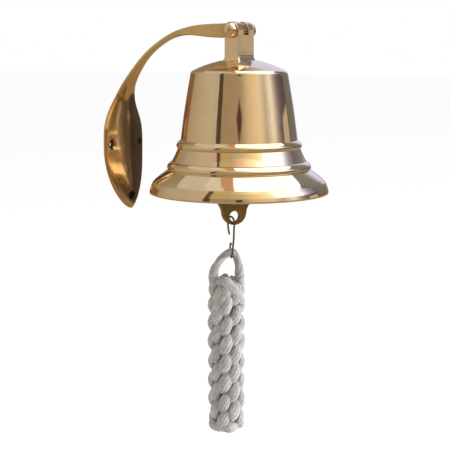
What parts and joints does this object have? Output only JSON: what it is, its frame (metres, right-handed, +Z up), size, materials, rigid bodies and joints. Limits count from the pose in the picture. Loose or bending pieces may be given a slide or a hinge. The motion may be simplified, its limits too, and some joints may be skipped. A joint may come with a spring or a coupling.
{
  "type": "ship bell",
  "caption": "Wall-mounted ship bell: turned brass bell on a curved leaf bracket, with clapper, S-hook and braided rope lanyard",
  "frame": {"origin": "middle of the flat back of the bracket's wall plate", "axes": "+X away from the wall towards the bell, +Y along the pivot bolt towards its nut, +Z up"},
  "size_m": [0.2079, 0.1518, 0.3513],
  "materials": {
    "polished_brass": "hand-polished casting",
    "bell_brass": "turned and mirror polished",
    "cast_brass": "as-cast, lightly brushed",
    "hook_wire": "drawn wire, dull",
    "cotton_rope": "twisted cotton rope, natural"
  },
  "bodies": {
    "bracket": {"wall_bracket": "polished_brass"},
    "bell": {"bell_shell": "bell_brass", "bell_yoke": "polished_brass", "pivot_bolt": "polished_brass", "pivot_dome_nut": "polished_brass", "crown_washer": "cast_brass", "crown_nut": "cast_brass", "clapper_hanger": "cast_brass"},
    "clapper": {"clapper": "cast_brass"},
    "hook": {"s_hook": "hook_wire"},
    "lanyard": {"lanyard_eye": "cotton_rope", "lanyard_braid": "cotton_rope"}
  },
  "joints": [
    {"name": "bell_swing", "type": "hinge", "parent": "bracket", "child": "bell", "pos_m": [0.132, 0, 0.1], "axis": [0, 1, 0], "range_deg": [-50, 8]},
    {"name": "clapper_swing", "type": "hinge", "parent": "bell", "child": "clapper", "pos_m": [0.12946, -0.00407, 0.0462], "axis": [0.5299, 0.848, 0], "range_deg": [-28, 28]},
    {"name": "hook_swing", "type": "hinge", "parent": "clapper", "child": "hook", "pos_m": [0.12818, -0.00611, -0.05626], "axis": [0.9272, -0.3746, 0], "range_deg": [-40, 40]},
    {"name": "lanyard_swing", "type": "hinge", "parent": "hook", "child": "lanyard", "pos_m": [0.12818, -0.00611, -0.09146], "axis": [0.7071, -0.7071, 0], "range_deg": [-40, 40]}
  ]
}
